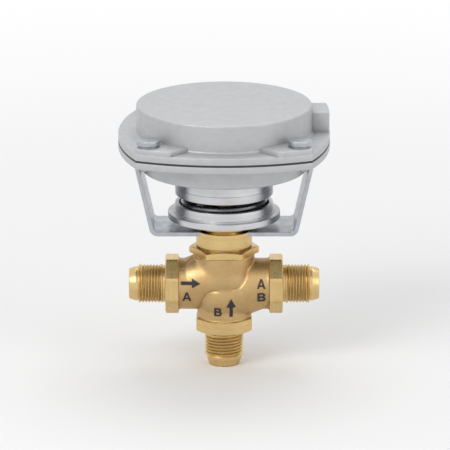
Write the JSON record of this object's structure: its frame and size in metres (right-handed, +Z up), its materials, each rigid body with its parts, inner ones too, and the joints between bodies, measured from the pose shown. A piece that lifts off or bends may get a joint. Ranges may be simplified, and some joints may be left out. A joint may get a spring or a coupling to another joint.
{
  "type": "three-way globe valve",
  "caption": "Three-way mixing globe valve with flare ports, a strap yoke and a spring-returned diaphragm actuator.",
  "frame": {"origin": "middle of the bottom port's end face, which is the lowest point", "axes": "+Z up along the stem's axis, +X along the run towards port AB, -Y is the front"},
  "size_m": [0.1204, 0.1204, 0.154],
  "materials": {
    "bronze": "satin cast bronze",
    "brass": "machined",
    "zinc_steel": "zinc plated",
    "stainless": "ground",
    "spring_steel": "oiled",
    "die_cast": "satin die cast",
    "turned_aluminium": "turned",
    "black_rubber": "matte",
    "white_packing": "matte"
  },
  "bodies": {
    "valve": {"valve_body": "bronze", "lower_seat_ring": "stainless", "upper_seat_ring": "stainless", "bonnet_gasket": "white_packing", "bonnet": "bronze", "packing_washer": "brass", "packing_rings": "white_packing", "packing_follower": "brass", "packing_nut": "brass", "yoke": "zinc_steel", "yoke_lock_nut": "brass", "yoke_screws": "zinc_steel", "lower_housing": "die_cast", "diaphragm": "black_rubber", "top_cover": "die_cast", "cover_screws": "zinc_steel", "cover_washers": "zinc_steel"},
    "stem": {"stem": "stainless", "plug": "brass", "upper_disc": "black_rubber", "lower_disc": "black_rubber", "upper_disc_washer": "stainless", "lower_disc_washer": "stainless", "plug_nut": "stainless", "spring_cup": "turned_aluminium", "stem_lock_nut": "zinc_steel", "diaphragm_plate": "turned_aluminium", "clamp_washer": "zinc_steel", "stem_top_nut": "zinc_steel"},
    "seat": {"spring_seat": "zinc_steel", "return_spring": "spring_steel"},
    "ring": {"adjusting_ring": "turned_aluminium"}
  },
  "joints": [
    {"name": "stem_travel", "type": "slide", "parent": "valve", "child": "stem", "axis": [0, 0, 1], "range_m": [-0.0048, 0], "stiffness_N_per_m": 8000, "springref_m": 0.004, "deforming": ["return_spring", "diaphragm"]},
    {"name": "seat_travel", "type": "slide", "parent": "valve", "child": "seat", "axis": [0, 0, 1], "range_m": [-0.0015, 0]},
    {"name": "ring_turn", "type": "hinge", "parent": "seat", "child": "ring", "pos_m": [0, 0, 0.0894], "axis": [0, 0, 1], "range_deg": [-360, 0]}
  ],
  "couplings": [
    {"joint": "ring_turn", "follows": "seat_travel", "rad_per_m": 4188.7}
  ]
}
